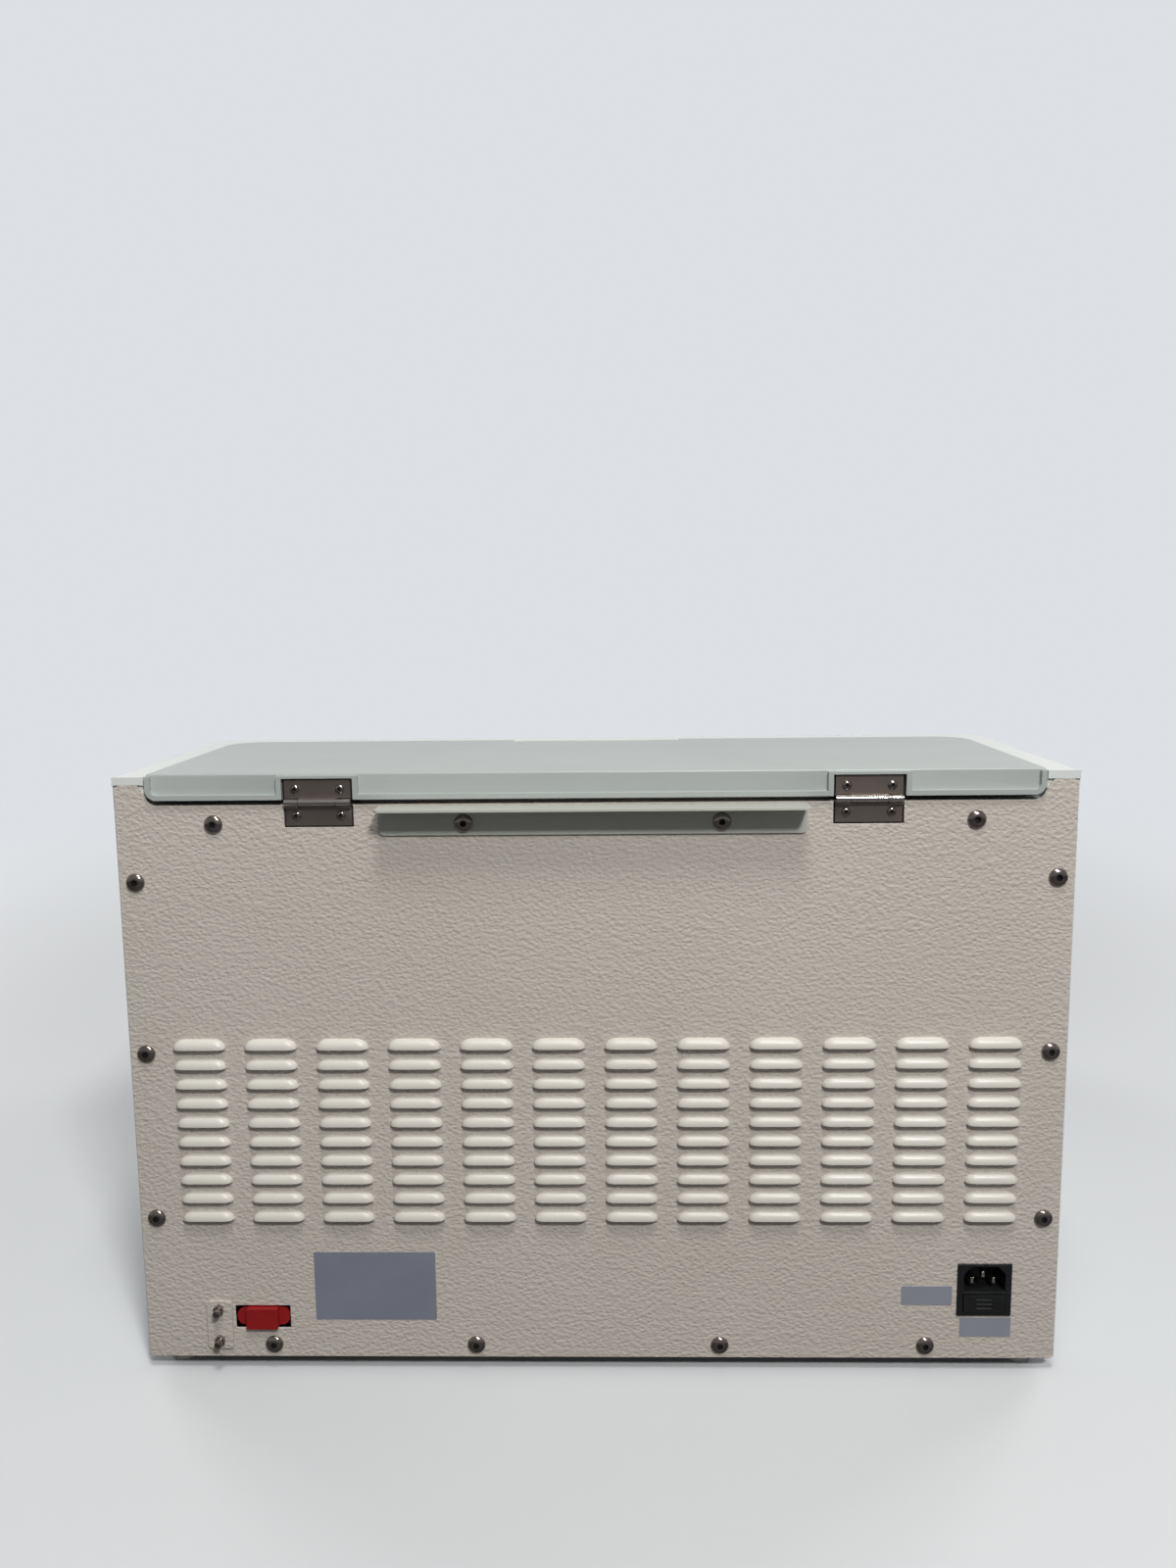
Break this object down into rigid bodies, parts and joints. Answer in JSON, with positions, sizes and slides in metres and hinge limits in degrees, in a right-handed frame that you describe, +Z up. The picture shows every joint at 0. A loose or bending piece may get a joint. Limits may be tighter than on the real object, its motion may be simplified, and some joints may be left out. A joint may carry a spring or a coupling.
{
  "type": "tissue embedding station",
  "caption": "Bench paraffin dispenser with heated tank under a hinged lid, louvred rear panel, nozzle head over a heated work plate, lidded baths and waste drawers.",
  "frame": {"origin": "centre of the footprint, on the surface under the feet", "axes": "+Z up, +X to the right when facing the front, +Y to the louvred rear panel"},
  "size_m": [0.6022, 0.659, 0.401],
  "materials": {
    "white_shell": "smooth white powder coat",
    "cream_panel": "wrinkle-textured cream powder coat",
    "grey_lid": "satin moulded grey-green plastic",
    "grey_bracket": "satin grey-green paint",
    "stainless": "brushed stainless steel",
    "dark_fastener": "tumbled stainless steel",
    "alloy": "bead-blasted aluminium",
    "foam": "closed-cell foam",
    "silicone": "silicone rubber",
    "foot_rubber": "translucent white rubber",
    "red_plastic": "soft red moulded plastic",
    "black_plastic": "black moulded nylon",
    "key_plastic": "light grey keycaps",
    "display": "dark display window",
    "white_plastic": "white moulded plastic",
    "brass_part": "tin-plated brass",
    "ceramic_fuse": "fuse bodies",
    "board_green": "green circuit board"
  },
  "bodies": {
    "root": {"rear_panel": "cream_panel", "panel_screws": "dark_fastener", "side_panel_left": "white_shell", "side_panel_right": "white_shell", "deck_cover": "white_shell", "upper_shell": "white_shell", "top_frame": "white_shell", "lid_stop_bracket": "grey_bracket", "hinge_leaves_frame": "stainless", "hinge_pins": "stainless", "hinge_screws_frame": "dark_fastener", "paraffin_tank": "stainless", "tank_insulation": "foam", "heater_mats": "silicone", "tank_strainer": "stainless", "feed_tube": "stainless", "nose_housing": "white_shell", "control_bezel": "black_plastic", "display_glass": "display", "valve_body": "alloy", "nozzle": "stainless", "lever_pin": "stainless", "led_lamp": "white_plastic", "work_plate": "alloy", "cold_plate": "alloy", "forceps_blocks": "alloy", "cassette_bath_tub": "stainless", "mould_warmer_tub": "stainless", "bath_hinge_ears": "stainless", "bath_hinge_pins": "stainless", "drawer_runners": "stainless", "base_tray": "stainless", "feet": "foot_rubber", "inlet_body": "black_plastic", "inlet_blades": "brass_part", "footswitch_socket": "black_plastic", "keeper_plate": "cream_panel", "keeper_studs": "stainless", "switch_body": "black_plastic", "power_supply": "stainless", "control_board": "board_green"},
    "tank_lid_body": {"tank_lid": "grey_lid", "lid_gasket": "silicone", "hinge_leaves_lid": "stainless", "hinge_screws_lid": "dark_fastener"},
    "cassette_bath_lid_body": {"cassette_bath_lid": "grey_lid"},
    "mould_warmer_lid_body": {"mould_warmer_lid": "grey_lid"},
    "waste_drawer_left_body": {"waste_drawer_left": "grey_bracket"},
    "waste_drawer_right_body": {"waste_drawer_right": "grey_bracket"},
    "lever_body": {"dispenser_lever": "stainless"},
    "plunger_body": {"valve_plunger": "stainless"},
    "knob_body": {"flow_knob": "black_plastic"},
    "fuse_drawer_body": {"fuse_drawer": "black_plastic", "fuses": "ceramic_fuse"},
    "dust_cap_body": {"dust_cap": "red_plastic"},
    "rocker_body": {"switch_rocker": "white_plastic"},
    "key_1_body": {"push_key_1": "key_plastic"},
    "key_2_body": {"push_key_2": "key_plastic"},
    "key_3_body": {"push_key_3": "key_plastic"},
    "key_4_body": {"push_key_4": "key_plastic"}
  },
  "joints": [
    {"name": "tank_lid_hinge", "type": "hinge", "parent": "root", "child": "tank_lid_body", "pos_m": [0, 0.3082, 0.3828], "axis": [-1, 0, 0], "range_deg": [0, 104]},
    {"name": "cassette_bath_lid_hinge", "type": "hinge", "parent": "root", "child": "cassette_bath_lid_body", "pos_m": [-0.209, 0.02, 0.156], "axis": [-1, 0, 0], "range_deg": [0, 95]},
    {"name": "mould_warmer_lid_hinge", "type": "hinge", "parent": "root", "child": "mould_warmer_lid_body", "pos_m": [0.209, 0.02, 0.156], "axis": [-1, 0, 0], "range_deg": [0, 95]},
    {"name": "waste_drawer_left_slide", "type": "slide", "parent": "root", "child": "waste_drawer_left_body", "axis": [0, -1, 0], "range_m": [0, 0.2]},
    {"name": "waste_drawer_right_slide", "type": "slide", "parent": "root", "child": "waste_drawer_right_body", "axis": [0, -1, 0], "range_m": [0, 0.2]},
    {"name": "dispenser_lever_hinge", "type": "hinge", "parent": "root", "child": "lever_body", "pos_m": [0, 0.0378, 0.2486], "axis": [1, 0, 0], "range_deg": [0, 14], "stiffness_Nm_per_rad": 0.4, "springref_deg": -17.19},
    {"name": "valve_plunger_slide", "type": "slide", "parent": "root", "child": "plunger_body", "axis": [0, 0, 1], "range_m": [0, 0.002]},
    {"name": "flow_knob_turn", "type": "hinge", "parent": "root", "child": "knob_body", "pos_m": [0.088, 0.018, 0.277], "axis": [1, 0, 0], "range_deg": [0, 270]},
    {"name": "fuse_drawer_slide", "type": "slide", "parent": "root", "child": "fuse_drawer_body", "axis": [0, 1, 0], "range_m": [0, 0.015]},
    {"name": "dust_cap_pull", "type": "slide", "parent": "root", "child": "dust_cap_body", "axis": [0, 1, 0], "range_m": [0, 0.008]},
    {"name": "mains_rocker_tilt", "type": "hinge", "parent": "root", "child": "rocker_body", "pos_m": [-0.297, 0.244, 0.071], "axis": [0, -1, 0], "range_deg": [0, 18]},
    {"name": "push_key_1_press", "type": "slide", "parent": "root", "child": "key_1_body", "axis": [0, 0.6313, -0.7756], "range_m": [0, 0.001], "stiffness_N_per_m": 400, "springref_m": -0.001},
    {"name": "push_key_2_press", "type": "slide", "parent": "root", "child": "key_2_body", "axis": [0, 0.6313, -0.7756], "range_m": [0, 0.001], "stiffness_N_per_m": 400, "springref_m": -0.001},
    {"name": "push_key_3_press", "type": "slide", "parent": "root", "child": "key_3_body", "axis": [0, 0.6313, -0.7756], "range_m": [0, 0.001], "stiffness_N_per_m": 400, "springref_m": -0.001},
    {"name": "push_key_4_press", "type": "slide", "parent": "root", "child": "key_4_body", "axis": [0, 0.6313, -0.7756], "range_m": [0, 0.001], "stiffness_N_per_m": 400, "springref_m": -0.001}
  ],
  "couplings": [
    {"joint": "valve_plunger_slide", "follows": "dispenser_lever_hinge", "m_per_rad": 0.00818}
  ]
}
